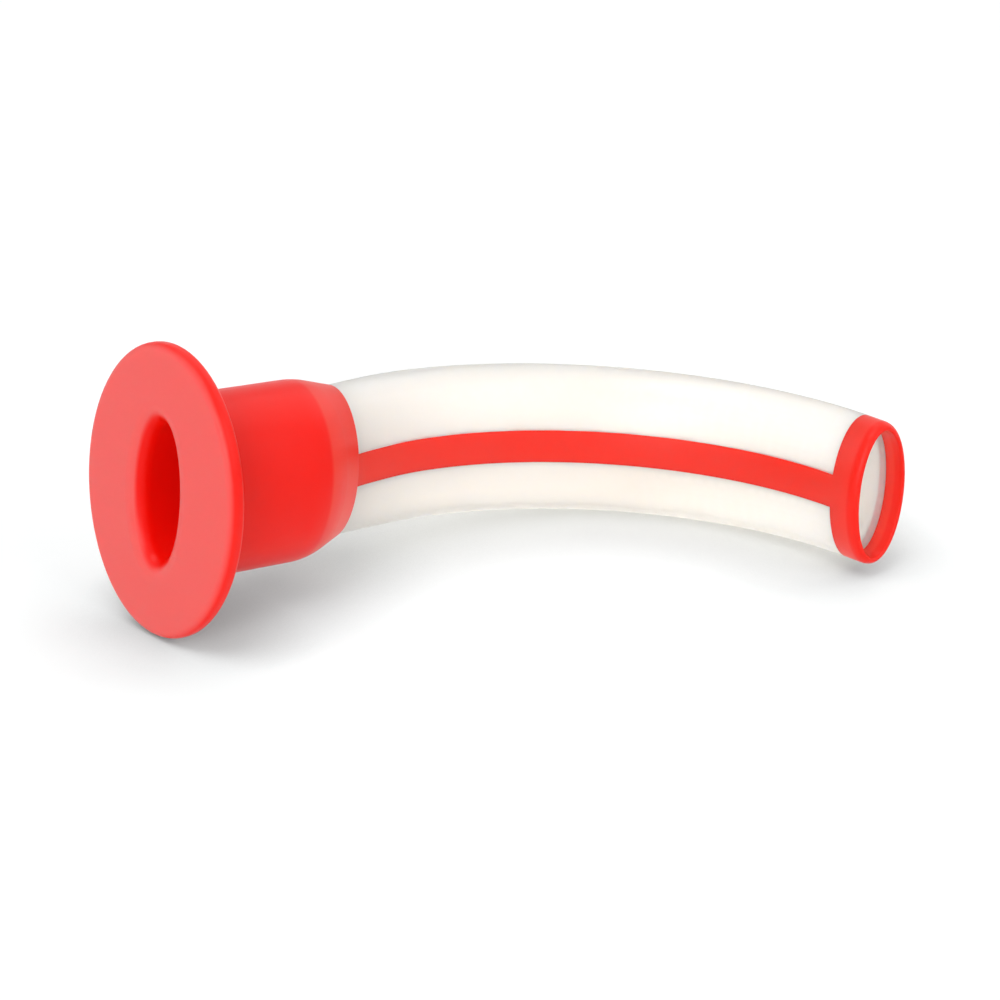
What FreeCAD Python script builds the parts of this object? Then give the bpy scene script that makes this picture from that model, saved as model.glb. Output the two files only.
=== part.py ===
import FreeCAD, Part
import math
import os
from FreeCAD import Matrix, Placement, Rotation, Vector

# Oropharyngeal airway of nominal length 100 mm, laid on its side as it comes to rest.
# One coloured moulding carries the oval flange, the bite sleeve, a narrow strip along
# the inside of the bend and a band round the tip. One clear tube is moulded to it face
# to face: it sits in the sleeve, carries the strip in a groove and ends in a spigot
# inside the band.
# The shape is drawn on its own axes first: X runs down the bite axis from the flange
# into the mouth, the bend goes towards -Y, and Z is the width of the airway.

# flange
flange_width = 39.2            # along Z
flange_height = 30.3           # along Y
flange_thickness = 2.4         # at the rim
flange_crown = 0.45            # how far the middle of the front face stands proud
flange_front_round = 1.25
flange_back_round = 0.8

# bite sleeve
sleeve_width = 24.8
sleeve_depth = 17.8            # at the flange
sleeve_draft = 0.4             # loss of depth from flange to shoulder
sleeve_shoulder = 22.0         # from the rim of the flange's front face
sleeve_cone = 6.4              # length of the cone beyond the shoulder
foot_offset = 0.1              # shift to the inside of the bend at the flange
shoulder_offset = 1.4          # the same at the shoulder
sleeve_foot_round = 0.8
sleeve_shoulder_round = 13.0
cone_end_lip = 0.2             # edge of the cone over the tube, at the back and sides
cone_inner_lip = 0.65          # the same on the inside of the bend

# bent tube
tube_width = 21.5              # at the sleeve
tube_depth = 10.4
tip_width = 20.0               # at the tip
tip_depth = 10.0
tube_wall = 1.15
root_swell = 1.3               # growth of the depth at the sleeve, inside of the bend only
root_neck = 0.3                # narrowing of each side at the sleeve
root_length = 12.0             # length over which the root runs out
socket_depth = 11.0            # how far the tube reaches back into the sleeve
bend_start = 38.6              # straight part of the axis, from the flange
bend_radius = 44.0
bend_angle = 95.3              # degrees
tip_straight = 4.6

# way through the airway, at the flange
bore_depth = 7.2
bore_width = 18.5
mouth_flare = 2.3

# strip and band
strip_width = 4.55
strip_thickness = 0.6
band_length = 4.6
spigot_length = 1.5            # how far the clear tube reaches on inside the band
tip_round = 0.85               # outside edge of the tip, across the wall
tip_round_length = 1.5         # the same along the axis
tip_bore_round = 0.3

# resting pose on a table, in degrees
rest_lean = 4.2                # lean towards the outside of the bend
rest_tilt_limit = 45.0         # the tilt down to the tube lies between 0 and this

# how finely the surfaces are drawn and the resting pose is found
station_pitch = 4.0            # spacing of the ovals that the bent surfaces pass through
round_steps = 8                # steps in a rounded edge
touch_tolerance = 0.05
rest_halvings = 40

NODE_COLOUR = "flange_moulding"
NODE_CLEAR = "clear_tube"

X_AXIS = Vector(1, 0, 0)
Y_AXIS = Vector(0, 1, 0)
Z_AXIS = Vector(0, 0, 1)

bend_sweep = math.radians(bend_angle)
bend_end = bend_start + bend_radius * bend_sweep
path_end = bend_end + tip_straight
sleeve_end = sleeve_shoulder + sleeve_cone
socket_start = sleeve_end - socket_depth
band_start = path_end - band_length
beyond_part = 2 * flange_width      # reach of the blocks that cut past the part


def axis_frame(s):
    """Point on the axis at s, its heading, and the direction away from the bend's inside."""
    turn = min(max((s - bend_start) / bend_radius, 0.0), bend_sweep)
    heading = Vector(math.cos(turn), -math.sin(turn), 0)
    outward = Vector(math.sin(turn), math.cos(turn), 0)
    bend_centre = Vector(bend_start, -bend_radius, 0)
    straight = min(s - bend_start, 0.0) + max(s - bend_end, 0.0)
    point = bend_centre + outward * bend_radius + heading * straight
    return point, heading, outward


def oval(s, shift, half_depth, half_width):
    """Closed oval across the axis at s, its middle moved outward by shift."""
    point, heading, outward = axis_frame(s)
    middle = point + outward * shift
    if half_width >= half_depth:
        curve = Part.Ellipse(middle + Z_AXIS * half_width, middle + outward * half_depth, middle)
    else:
        curve = Part.Ellipse(middle + outward * half_depth, middle - Z_AXIS * half_width, middle)
    return Part.Wire([curve.toShape()])


def ovals(section, places, insets):
    """Ovals of a section at the places, each drawn in by its inset."""
    wires = []
    for s, inset in zip(places, insets):
        shift, half_depth, half_width = section(s)
        wires.append(oval(s, shift, half_depth - inset, half_width - inset))
    return wires


def rounded_edge(section, edge, inward, radius, length):
    """Ovals that round an edge at one end of a body; inward is the way into it, +1 or -1."""
    turns = [math.radians(90) * i / round_steps for i in range(round_steps + 1)]
    places = [edge + inward * length * (1 - math.cos(turn)) for turn in turns]
    insets = [radius * (1 - math.sin(turn)) for turn in turns]
    return ovals(section, places, insets)


def root_share(s):
    """1 inside the sleeve, running out smoothly to 0 over the length of the root."""
    return (1.0 - min(max((s - sleeve_end) / root_length, 0.0), 1.0)) ** 2


def tube_section(s):
    """Outward shift and half sizes of the outside of the tube at s."""
    along = min(max((s - sleeve_end) / (path_end - sleeve_end), 0.0), 1.0)
    swell = root_swell * root_share(s)
    depth = tube_depth + (tip_depth - tube_depth) * along + swell
    width = tube_width + (tip_width - tube_width) * along
    return -swell / 2, depth / 2, width / 2 - root_neck * root_share(s)


def bore_section(s):
    """Shift and half sizes of the way through at s; the root's swell stays outside it."""
    shift, half_depth, half_width = tube_section(max(s, socket_start))
    half_depth = half_depth + shift - tube_wall
    half_width = half_width - tube_wall
    along = min(max(s / socket_start, 0.0), 1.0)
    half_depth = bore_depth / 2 + (half_depth - bore_depth / 2) * along
    half_width = bore_width / 2 + (half_width - bore_width / 2) * along
    return 0.0, half_depth, half_width


def flange_section(s):
    """Shift and half sizes of the flange."""
    return 0.0, flange_height / 2, flange_width / 2


def sleeve_section(s):
    """Shift and half sizes of the sleeve between the flange and its shoulder."""
    along = s / sleeve_shoulder
    shift = foot_offset + (shoulder_offset - foot_offset) * along
    return -shift, (sleeve_depth - sleeve_draft * along) / 2, sleeve_width / 2


def long_solid(section, start, end, inset):
    """Solid along the axis: straight up to the end of the sleeve, smooth beyond it."""
    straight = sorted(set([start, max(start, socket_start), sleeve_end]))
    steps = round((end - sleeve_end) / station_pitch)
    bent = [sleeve_end + (end - sleeve_end) * i / steps for i in range(steps + 1)]
    foot = Part.makeLoft(ovals(section, straight, [inset] * len(straight)), True, True)
    limb = Part.makeLoft(ovals(section, bent, [inset] * len(bent)), True, False)
    return foot.fuse(limb)


def flange_solid():
    """Oval plate with a rounded rim and a gently crowned front face."""
    front = rounded_edge(flange_section, 0, 1, flange_front_round, flange_front_round)
    back = rounded_edge(flange_section, flange_thickness, -1, flange_back_round,
                        flange_back_round)
    plate = Part.makeLoft(front + back[::-1], True, True)
    crown_width = flange_width / 2 - flange_front_round
    crown_height = flange_height / 2 - flange_front_round
    ball_radius = (crown_width ** 2 + flange_crown ** 2) / (2 * flange_crown)
    ball = Part.makeSphere(ball_radius, Vector(ball_radius - flange_crown, 0, 0), X_AXIS)
    crown_block = Part.makeCylinder(flange_width, flange_crown, -X_AXIS * flange_crown, X_AXIS)
    cap = ball.common(crown_block)
    squeeze = Matrix()
    squeeze.A22 = crown_height / crown_width
    return plate.fuse(cap.transformGeometry(squeeze))


def sleeve_solid():
    """Bite sleeve with its foot on the flange, a soft shoulder and the cone beyond it."""
    shift, half_depth, half_width = tube_section(sleeve_end)
    inner = shift - half_depth - cone_inner_lip
    back = shift + half_depth + cone_end_lip
    wires = ovals(sleeve_section, [flange_thickness, sleeve_shoulder], [0, 0])
    wires.append(oval(sleeve_end, (inner + back) / 2, (back - inner) / 2,
                      half_width + cone_end_lip))
    sleeve = Part.makeLoft(wires, True, True)
    shoulder = [e for e in sleeve.Edges if abs(e.BoundBox.Center.x - sleeve_shoulder) < 1
                and e.BoundBox.XLength < 1]
    sleeve = sleeve.makeFillet(sleeve_shoulder_round, shoulder)
    turns = [math.radians(90) * i / round_steps for i in range(round_steps + 1)]
    places = [flange_thickness + sleeve_foot_round * (1 - math.sin(turn)) for turn in turns]
    growth = [-sleeve_foot_round * (1 - math.cos(turn)) for turn in turns]
    foot = Part.makeLoft(ovals(sleeve_section, places, growth), True, True)
    return sleeve.fuse(foot)


def tube_solid():
    """Outside of the tube with the band's rounded end."""
    limb = long_solid(tube_section, socket_start, path_end - tip_round_length, 0)
    nose = rounded_edge(tube_section, path_end, -1, tip_round, tip_round_length)
    return limb.fuse(Part.makeLoft(nose, True, True))


def bore_solid():
    """Way through the whole airway, opened at the tip by a small rounding."""
    limb = long_solid(bore_section, -flange_thickness, path_end - tip_bore_round, 0)
    turns = [math.radians(90) * i / round_steps for i in range(round_steps + 1)]
    places = [path_end - tip_bore_round * (1 - math.sin(turn)) for turn in turns]
    growth = [-tip_bore_round * (1 - math.cos(turn)) for turn in turns]
    wires = ovals(bore_section, places, growth)
    wires += ovals(bore_section, [path_end + tube_wall], [-tip_bore_round])
    return limb.fuse(Part.makeLoft(wires, True, True))


def past(start):
    """Block that takes in everything past start along the straight tip."""
    point, heading, outward = axis_frame(start)
    block = Part.makeBox(beyond_part, 2 * beyond_part, 2 * beyond_part)
    block.translate(Vector(0, -beyond_part, -beyond_part))
    block.Placement = Placement(point, Rotation(X_AXIS, heading)).multiply(block.Placement)
    return block


def strip_solid(tube, core):
    """Strip let into the outside of the tube along the inside of the bend."""
    slab = Part.makeBox(4 * beyond_part, 4 * beyond_part, strip_width)
    slab.translate(Vector(-beyond_part, -2 * beyond_part, -strip_width / 2))
    bend_centre = Vector(bend_start, -bend_radius, 0)
    strips = tube.common(slab).cut(past(band_start)).cut(core).Solids
    return min(strips, key=lambda piece: piece.CenterOfMass.distanceToPoint(bend_centre))


def pieces():
    """The coloured moulding and the clear tube, on the part's own axes."""
    tube = tube_solid()
    bore = bore_solid()
    core = long_solid(tube_section, socket_start - tube_wall, path_end + tube_wall,
                      strip_thickness)
    clear = tube.cut(bore).cut(strip_solid(tube, core))
    clear = clear.cut(past(band_start).cut(core)).cut(past(band_start + spigot_length)).Solids[0]
    whole = flange_solid().fuse(sleeve_solid()).fuse(tube).cut(bore)
    mouth = [e for e in whole.Edges if e.BoundBox.XMax < 0
             and e.BoundBox.ZLength < bore_width + flange_thickness
             and e.BoundBox.YLength > bore_depth - flange_thickness]
    whole = whole.makeFillet(mouth_flare, mouth)
    return whole.cut(clear).Solids[0], clear


def resting(tilt):
    """Turn of the part on the table: leaned about its bite axis, then tilted down."""
    return Rotation(Y_AXIS, tilt).multiply(Rotation(X_AXIS, -rest_lean))


def lowest(points, turn):
    """Height of the lowest of the points after a turn."""
    up = turn.inverted().multVec(Z_AXIS)
    return min(up.dot(point) for point in points)


def lie_down(colour, clear):
    """Turn at which the rim of the flange and the bent tube both touch the table."""
    points = colour.tessellate(touch_tolerance)[0] + clear.tessellate(touch_tolerance)[0]
    rim = [point for point in points if point.x < flange_thickness and point.z < 0]
    tube = [point for point in points if point.x > sleeve_end and point.z < 0]
    low, high = 0.0, rest_tilt_limit
    for _ in range(rest_halvings):
        tilt = (low + high) / 2
        if lowest(rim, resting(tilt)) < lowest(tube, resting(tilt)):
            low = tilt
        else:
            high = tilt
    return resting(low)


def main():
    """Builds both pieces, lays them on the table and writes one file for each."""
    colour, clear = pieces()
    turn = lie_down(colour, clear)
    colour.Placement = Placement(Vector(0, 0, 0), turn)
    clear.Placement = Placement(Vector(0, 0, 0), turn)
    box = Part.makeCompound([colour, clear]).optimalBoundingBox(False, False)
    to_origin = Vector(-box.Center.x, -box.Center.y, -box.ZMin)
    os.makedirs("parts", exist_ok=True)
    for node, solid in ((NODE_COLOUR, colour), (NODE_CLEAR, clear)):
        solid.translate(to_origin)
        solid.exportStep("parts/" + node + ".step")
        print(node, "valid", solid.isValid(), "volume", round(solid.Volume, 1))
    print("box", round(box.XLength, 2), round(box.YLength, 2), round(box.ZLength, 2))


main()
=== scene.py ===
import bpy
import math
from mathutils import Matrix, Vector

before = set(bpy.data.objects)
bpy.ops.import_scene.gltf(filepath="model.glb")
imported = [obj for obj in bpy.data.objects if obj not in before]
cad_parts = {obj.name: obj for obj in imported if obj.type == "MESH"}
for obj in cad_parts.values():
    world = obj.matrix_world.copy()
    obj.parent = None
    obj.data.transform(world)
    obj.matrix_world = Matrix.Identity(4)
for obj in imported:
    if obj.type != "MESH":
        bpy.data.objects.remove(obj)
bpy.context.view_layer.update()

MM = 0.001
WHITE = (1.0, 1.0, 1.0, 1.0)

# camera
camera_azimuth = 43.465         # degrees from +Y towards +X that it looks along
camera_elevation = 25.288       # degrees that it looks down
camera_roll = 0.469             # degrees
camera_distance = 443.79 * MM
camera_target = Vector((-1.820, -2.364, 13.128)) * MM
camera_lens = 120.34            # millimetres, on the sensor's width
camera_sensor = 36.0            # millimetres
camera_nearest = 0.01
camera_farthest = 50.0

# lamps: azimuth from +Y towards +X and elevation of where each stands, size and watts as at 1 m
lamp_distance = 2.5
LAMPS = {
    "front_left": ((-120.0, 22.0), 0.60, 4.3),
    "front_right": ((168.0, 32.0), 0.80, 3.1),
    "right": ((95.0, 38.0), 0.90, 2.4),
    "overhead": ((-90.0, 72.0), 0.60, 3.1),
    "back": ((35.0, 58.0), 0.70, 1.5),
    "left": ((-35.0, 20.0), 0.70, 1.1),
}
world_level = 0.12

# floor: what the camera sees is part lit card, part soft contact shade
floor_radius = 6.0
floor_sides = 96
floor_colour = (0.93, 0.93, 0.93, 1)    # card that throws light back on the object
floor_seen = (0.59, 0.605, 0.605, 1)    # lit part of what the camera sees
floor_shade = 0.48              # strength of the part that only the contact shade dims
shade_reach = 16.0 * MM
shade_depth = 1.7               # power that makes the shade deeper under the object
shade_samples = 8

# places on the object: points in metres, the other sizes in millimetres from the mouth
axis_start = Vector((-42.810, 19.049, 19.677)) * MM    # middle of the mouth
axis_along = Vector((0.98959, 0.0, -0.14390))          # from the mouth into the sleeve
axis_across = Vector((0.14352, 0.07324, 0.98693))      # along the longer side of the openings
axis_aside = Vector((-0.01054, 0.99731, -0.07248))     # along their shorter side
tip_place = Vector((39.324, -33.455, 11.630)) * MM     # middle of the tip's end
tip_along = Vector((-0.08092, -0.99305, 0.08546))      # out of it
way_in = (4.6, 10.4)            # half width and half height that the walls of the way in stay within
way_in_edge = (0.95, 1.05)      # shares of them between which a wall ends and the outside begins
bend_middle = (38.6, -44.0)     # along and aside
bend_radius = 44.0
lumen = (4.7, 10.2)             # half width and half height that the walls of the lumen stay within
lumen_edge = (0.96, 1.0)        # shares of them between which a wall ends and the outside begins

# what both plastics share; noise scales are per metre
cloud_detail = 3.0
grain_detail = 3.0
grain_roughness = 0.6
grain_height = 0.02 * MM
grain_span = (0.3, 0.7)         # values that most of the grain lies between
ripple_height = 0.10 * MM
ripple_strength = 0.10

# red plastic
RED_AND_REFLECTION_ALONG = (                   # reds by millimetres from the mouth; the paler ones on the face and cone are painted reflection
    (0.50, (0.97, 0.132, 0.122, 1)),    # face of the flange, paler: painted reflection of the lamps
    (1.05, (0.96, 0.012, 0.006, 1)),    # back of its rim
    (21.8, (0.96, 0.007, 0.002, 1)),    # sleeve
    (22.4, (0.96, 0.056, 0.040, 1)),    # cone, paler: painted reflection of the lamps
    (29.0, (0.96, 0.042, 0.026, 1)),    # strip and band
)
red_span = 40.0                         # millimetres that the reds are spread over
red_deep_glow = (1.0, 0.006, 0.002, 1)       # walls of the way in: deeper, brighter red as a painted glow of light bounced between them
red_end_shade = (0.94, 0.020, 0.010, 1)       # painted shade: darker red on the rounded end of the band
red_end_shade_span = (-1.7, -1.2)             # millimetres out of the tip between which that painted shade sets in
red_bounced = (0.55, 0.45, 0.45, 1)     # what its light on other surfaces is toned down to
red_cloud = (0.97, 0.14, 0.12, 1)       # paler clouding in it
red_cloud_scale = 60.0
red_cloud_span = (0.35, 0.65)           # noise values between which the clouding sets in
red_cloud_most = 0.05
red_grain_scale = 2200.0
red_grain_strength = 0.02
red_ripple_scale = 160.0
red_roughness = (0.30, 0.34)
RED_SHADER = {
    "IOR": 1.5,
    "Specular IOR Level": 0.17,
    "Subsurface Weight": 0.8,
    "Subsurface Radius": (1.0, 0.06, 0.04),
    "Subsurface Scale": 1.2 * MM,
}

# clear plastic
clear_base = (0.870, 0.840, 0.805, 1)
clear_warm = (0.88, 0.81, 0.77, 1)      # warmer clouding in it
clear_cloud_scale = 45.0
clear_cloud_span = (0.3, 0.7)           # noise values between which the clouding sets in
clear_cloud_most = 0.25
clear_tip_shade = (0.765, 0.705, 0.665, 1)    # darker, warmer tube at the tip: painted shade against the lamps' stronger light there
clear_tip_shade_span = (-3.0, -38.0)          # millimetres aside between which it sets in
clear_edge_shade = (0.76, 0.755, 0.74, 1)     # painted shade: greyer along its upper and lower edges
CLEAR_SHADED_EDGES = ((-6.5, -10.5), (8.5, 10.6))      # millimetres across between which each sets in
clear_inner_light = (0.99, 0.97, 0.92, 1)     # walls of the lumen, lighter: painted light as if shining through the tube
clear_passes = 0.97                     # share of the lamps' light that goes through one surface
clear_passed = (1.0, 0.99, 0.97, 1)     # tint of that light
clear_grain_scale = 1500.0
clear_grain_strength = 0.2
clear_ripple_scale = 120.0
clear_roughness = (0.30, 0.40)
CLEAR_SHADER = {
    "IOR": 1.48,
    "Specular IOR Level": 0.4,
    "Subsurface Weight": 1.0,
    "Subsurface Radius": (1.0, 0.95, 0.85),
    "Subsurface Scale": 2.0 * MM,
    "Transmission Weight": 0.45,
}


def empty_tree(block):
    """Emptied node tree of a material or the world."""
    block.use_nodes = True
    block.node_tree.nodes.clear()
    return block.node_tree


def add(tree, kind, inputs=None, **settings):
    """New node; each of its inputs is given a fixed value or the socket that feeds it."""
    node = tree.nodes.new(kind)
    for name, value in settings.items():
        setattr(node, name, value)
    for place, value in (inputs or {}).items():
        if isinstance(value, bpy.types.NodeSocket):
            tree.links.new(value, node.inputs[place])
        else:
            node.inputs[place].default_value = value
    return node


def calculate(tree, operation, first, second):
    """Result of an operation on two values."""
    return add(tree, "ShaderNodeMath", {0: first, 1: second}, operation=operation).outputs["Value"]


def ramp(tree, value, span, results=(0.0, 1.0)):
    """Value mapped from a span to a span of results, held at its ends."""
    inputs = {"Value": value, "From Min": span[0], "From Max": span[1],
              "To Min": results[0], "To Max": results[1]}
    return add(tree, "ShaderNodeMapRange", inputs).outputs["Result"]


def mix(tree, factor, first, second):
    """Colour between two; either may be a fixed colour or a socket."""
    inputs = {"Factor": factor, "A": first, "B": second}
    return add(tree, "ShaderNodeMix", inputs, data_type="RGBA").outputs["Result"]


def mix_shaders(tree, factor, first, second):
    """Shader between two."""
    return add(tree, "ShaderNodeMixShader", {"Fac": factor, 1: first, 2: second}).outputs["Shader"]


def noise(tree, coords, scale, detail=2.0, roughness=0.5):
    """Noise over the object, its scale per metre."""
    inputs = {"Vector": coords, "Scale": scale, "Detail": detail, "Roughness": roughness}
    return add(tree, "ShaderNodeTexNoise", inputs).outputs["Fac"]


def bump(tree, height, distance, strength, normal=None):
    """Normal that a height from 0 to 1 tilts, after another normal if one is given."""
    inputs = {"Height": height, "Distance": distance, "Strength": strength}
    if normal is not None:
        inputs["Normal"] = normal
    return add(tree, "ShaderNodeBump", inputs).outputs["Normal"]


def along(tree, coords, axis, start=axis_start):
    """Millimetres along an axis from its start, which is the middle of the mouth if not said."""
    away = add(tree, "ShaderNodeVectorMath", {0: coords, 1: start}, operation="SUBTRACT")
    inputs = {0: away.outputs["Vector"], 1: axis / MM}
    return add(tree, "ShaderNodeVectorMath", inputs, operation="DOT_PRODUCT").outputs["Value"]


def apart(tree, x, y, middle=(0.0, 0.0)):
    """Distance of the point x, y from a middle."""
    point = add(tree, "ShaderNodeCombineXYZ", {"X": x, "Y": y}).outputs["Vector"]
    inputs = {0: point, 1: (*middle, 0.0)}
    return add(tree, "ShaderNodeVectorMath", inputs, operation="DISTANCE").outputs["Value"]


def surface(tree, coords, grain_scale, grain_strength, ripple_scale, roughness):
    """Shader inputs of a moulded surface with a fine grain and a faint ripple."""
    grain = noise(tree, coords, grain_scale, grain_detail, grain_roughness)
    ripple = noise(tree, coords, ripple_scale)
    normal = bump(tree, grain, grain_height, grain_strength)
    normal = bump(tree, ripple, ripple_height, ripple_strength, normal)
    return {"Roughness": ramp(tree, grain, grain_span, roughness), "Normal": normal}


def reds(tree, coords):
    """Red that changes from the face of the flange to the strip; the paler face and cone are painted
    reflection.
    """
    spread = add(tree, "ShaderNodeValToRGB",
                 {"Fac": ramp(tree, along(tree, coords, axis_along), (0.0, red_span))})
    stops = spread.color_ramp.elements
    for place, colour in RED_AND_REFLECTION_ALONG[1:-1]:
        stops.new(place / red_span)
    for stop, (place, colour) in zip(stops, RED_AND_REFLECTION_ALONG):
        stop.position = place / red_span
        stop.color = colour
    return spread.outputs["Color"]


def outside(tree, coords):
    """0 on the walls of the way in, 1 on every other surface."""
    aside = along(tree, coords, axis_aside / way_in[0])
    across = along(tree, coords, axis_across / way_in[1])
    return ramp(tree, apart(tree, aside, across), way_in_edge)


def inside(tree, coords):
    """1 on the walls of the bent lumen, 0 on every other surface."""
    radius = apart(tree, along(tree, coords, axis_along), along(tree, coords, axis_aside), bend_middle)
    aside = ramp(tree, radius, (bend_radius - lumen[0], bend_radius + lumen[0]), (-1.0, 1.0))
    across = along(tree, coords, axis_across / lumen[1])
    return ramp(tree, apart(tree, aside, across), lumen_edge, (1.0, 0.0))


def red_material():
    """Dyed soft moulding plastic: smooth, semi-gloss, light sinks into it a little. Its paler face and
    cone are painted reflection, its way in a painted glow, its band's end painted shade.
    """
    material = bpy.data.materials.new("red_plastic_look")
    tree = empty_tree(material)
    coords = add(tree, "ShaderNodeTexCoord").outputs["Object"]
    cloud = noise(tree, coords, red_cloud_scale, cloud_detail)
    clouded = ramp(tree, cloud, red_cloud_span, (0.0, red_cloud_most))
    colour = mix(tree, clouded, reds(tree, coords), red_cloud)
    open_side = outside(tree, coords)
    # painted glow: the way in gets a deeper, brighter red for light bounced between its walls
    colour = mix(tree, open_side, red_deep_glow, colour)
    # painted shade on the rounded end of the band
    end = along(tree, coords, tip_along, tip_place)
    colour = mix(tree, ramp(tree, end, red_end_shade_span), colour, red_end_shade)
    rays = add(tree, "ShaderNodeLightPath").outputs
    bounced = calculate(tree, "MULTIPLY", rays["Is Diffuse Ray"], open_side)
    colour = mix(tree, bounced, colour, red_bounced)
    finish = surface(tree, coords, red_grain_scale, red_grain_strength, red_ripple_scale, red_roughness)
    shader = add(tree, "ShaderNodeBsdfPrincipled", {"Base Color": colour, **finish, **RED_SHADER})
    add(tree, "ShaderNodeOutputMaterial", {"Surface": shader.outputs["BSDF"]})
    return material


def clear_material():
    """Frosted cream-clear plastic: most light scatters inside the wall, and lamps shine through.
    Painted shade darkens its edges and tip, painted light brightens its lumen's walls.
    """
    material = bpy.data.materials.new("clear_plastic_look")
    tree = empty_tree(material)
    coords = add(tree, "ShaderNodeTexCoord").outputs["Object"]
    cloud = noise(tree, coords, clear_cloud_scale, cloud_detail)
    clouded = ramp(tree, cloud, clear_cloud_span, (0.0, clear_cloud_most))
    colour = mix(tree, clouded, clear_base, clear_warm)
    # painted shade: the tube darker and warmer towards the tip
    aside = along(tree, coords, axis_aside)
    colour = mix(tree, ramp(tree, aside, clear_tip_shade_span), colour, clear_tip_shade)
    height = along(tree, coords, axis_across)
    # painted shade along the tube's upper and lower edges
    for edge in CLEAR_SHADED_EDGES:
        colour = mix(tree, ramp(tree, height, edge), colour, clear_edge_shade)
    # painted light: the lumen's walls lighter, as if lit through the tube
    colour = mix(tree, inside(tree, coords), colour, clear_inner_light)
    finish = surface(tree, coords, clear_grain_scale, clear_grain_strength, clear_ripple_scale,
                     clear_roughness)
    shader = add(tree, "ShaderNodeBsdfPrincipled", {"Base Color": colour, **finish, **CLEAR_SHADER})
    through = add(tree, "ShaderNodeBsdfTransparent", {"Color": clear_passed})
    rays = add(tree, "ShaderNodeLightPath").outputs
    share = calculate(tree, "MULTIPLY", rays["Is Shadow Ray"], clear_passes)
    blend = mix_shaders(tree, share, shader.outputs["BSDF"], through.outputs["BSDF"])
    add(tree, "ShaderNodeOutputMaterial", {"Surface": blend})
    return material


def floor_material():
    """White card. The camera sees it part lit and part dimmed only by what stands close above it."""
    material = bpy.data.materials.new("floor_card")
    tree = empty_tree(material)
    card = add(tree, "ShaderNodeBsdfDiffuse", {"Color": floor_colour}).outputs["BSDF"]
    seen_card = add(tree, "ShaderNodeBsdfDiffuse", {"Color": floor_seen}).outputs["BSDF"]
    near = add(tree, "ShaderNodeAmbientOcclusion", {"Distance": shade_reach}, samples=shade_samples)
    shade = calculate(tree, "POWER", near.outputs["AO"], shade_depth)
    level = calculate(tree, "MULTIPLY", shade, floor_shade)
    glow = add(tree, "ShaderNodeEmission", {"Color": WHITE, "Strength": level}).outputs["Emission"]
    seen = add(tree, "ShaderNodeAddShader", {0: seen_card, 1: glow}).outputs["Shader"]
    rays = add(tree, "ShaderNodeLightPath").outputs
    shown = mix_shaders(tree, rays["Is Camera Ray"], card, seen)
    white = add(tree, "ShaderNodeEmission", {"Color": WHITE, "Strength": 1.0}).outputs["Emission"]
    shown = mix_shaders(tree, rays["Is Transmission Ray"], shown, white)
    add(tree, "ShaderNodeOutputMaterial", {"Surface": shown})
    return material


def white_world():
    """Even soft light all round; camera, gloss and glass rays see plain white."""
    world = bpy.data.worlds.new("studio")
    tree = empty_tree(world)
    rays = add(tree, "ShaderNodeLightPath").outputs
    sees_white = calculate(tree, "MAXIMUM", rays["Is Camera Ray"], rays["Is Glossy Ray"])
    sees_white = calculate(tree, "MAXIMUM", sees_white, rays["Is Transmission Ray"])
    light = add(tree, "ShaderNodeBackground", {"Color": WHITE, "Strength": world_level})
    white = add(tree, "ShaderNodeBackground", {"Color": WHITE, "Strength": 1.0})
    shown = mix_shaders(tree, sees_white, light.outputs["Background"], white.outputs["Background"])
    add(tree, "ShaderNodeOutputWorld", {"Surface": shown})
    bpy.context.scene.world = world


def direction(azimuth, elevation):
    """Unit vector towards a place at that azimuth, from +Y towards +X, and elevation."""
    turn = math.radians(azimuth)
    rise = math.radians(elevation)
    return Vector((math.sin(turn) * math.cos(rise), math.cos(turn) * math.cos(rise), math.sin(rise)))


def area_lamp(name, place, size, watts):
    """Round soft lamp that faces the camera's target; size and watts are what they would be at 1 m."""
    data = bpy.data.lights.new(name, "AREA")
    data.shape = "DISK"
    data.size = size * lamp_distance
    data.energy = watts * lamp_distance ** 2
    lamp = bpy.data.objects.new(name, data)
    towards = direction(*place)
    lamp.location = camera_target + towards * lamp_distance
    lamp.rotation_mode = "QUATERNION"
    lamp.rotation_quaternion = towards.to_track_quat("Z", "Y")
    bpy.context.scene.collection.objects.link(lamp)


def set_camera():
    """Camera at the photo's viewing angle."""
    data = bpy.data.cameras.new("camera")
    data.lens = camera_lens
    data.sensor_width = camera_sensor
    data.clip_start = camera_nearest
    data.clip_end = camera_farthest
    camera = bpy.data.objects.new("camera", data)
    bpy.context.scene.collection.objects.link(camera)
    forward = direction(camera_azimuth, -camera_elevation)
    right = forward.cross(Vector((0, 0, 1))).normalized()
    up = right.cross(forward)
    roll = math.radians(camera_roll)
    rolled_right = right * math.cos(roll) + up * math.sin(roll)
    rolled_up = up * math.cos(roll) - right * math.sin(roll)
    turn = Matrix((rolled_right, rolled_up, -forward)).transposed()
    camera.rotation_mode = "QUATERNION"
    camera.rotation_quaternion = turn.to_quaternion()
    camera.location = camera_target - forward * camera_distance
    bpy.context.scene.camera = camera


def add_floor():
    """Round floor under the object."""
    mesh = bpy.data.meshes.new("floor")
    angles = [2 * math.pi * side / floor_sides for side in range(floor_sides)]
    ring = [(floor_radius * math.cos(angle), floor_radius * math.sin(angle), 0.0) for angle in angles]
    mesh.from_pydata(ring, [], [list(range(floor_sides))])
    floor = bpy.data.objects.new("floor", mesh)
    bpy.context.scene.collection.objects.link(floor)
    mesh.materials.append(floor_material())


def paint(node, material):
    """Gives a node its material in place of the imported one."""
    node.data.materials.clear()
    node.data.materials.append(material)


bpy.context.scene.view_settings.view_transform = "Standard"
paint(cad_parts["flange_moulding"], red_material())
paint(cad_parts["clear_tube"], clear_material())
white_world()
add_floor()
for lamp_name, (place, size, watts) in LAMPS.items():
    area_lamp(lamp_name, place, size, watts)
set_camera()
